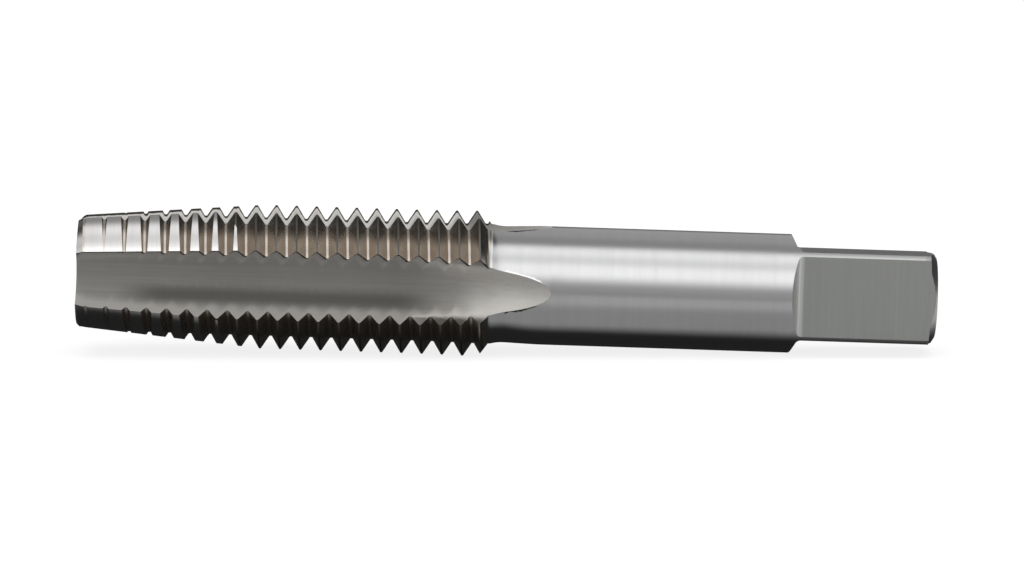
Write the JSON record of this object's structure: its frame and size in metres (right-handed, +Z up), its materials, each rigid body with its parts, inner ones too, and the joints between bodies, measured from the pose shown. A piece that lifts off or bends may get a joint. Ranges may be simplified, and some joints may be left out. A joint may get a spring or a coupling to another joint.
{
  "type": "thread tap",
  "caption": "Taper hand tap that cuts a right-hand thread: straight-fluted body with a long relieved lead, plain round shank and a square end for a tap wrench.",
  "frame": {"origin": "centre of the point's end face, on the tap's axis, at the mouth of the point's lathe centre", "axes": "+X along the tap's axis from the point to the square end; +Z up, with the tap lying on two land edges; flutes open toward -Y, +Z, +Y and -Z"},
  "size_m": [0.108, 0.0174, 0.0174],
  "materials": {
    "tap": "ground bright"
  },
  "bodies": {
    "root": {"tap": "tap"}
  },
  "joints": []
}
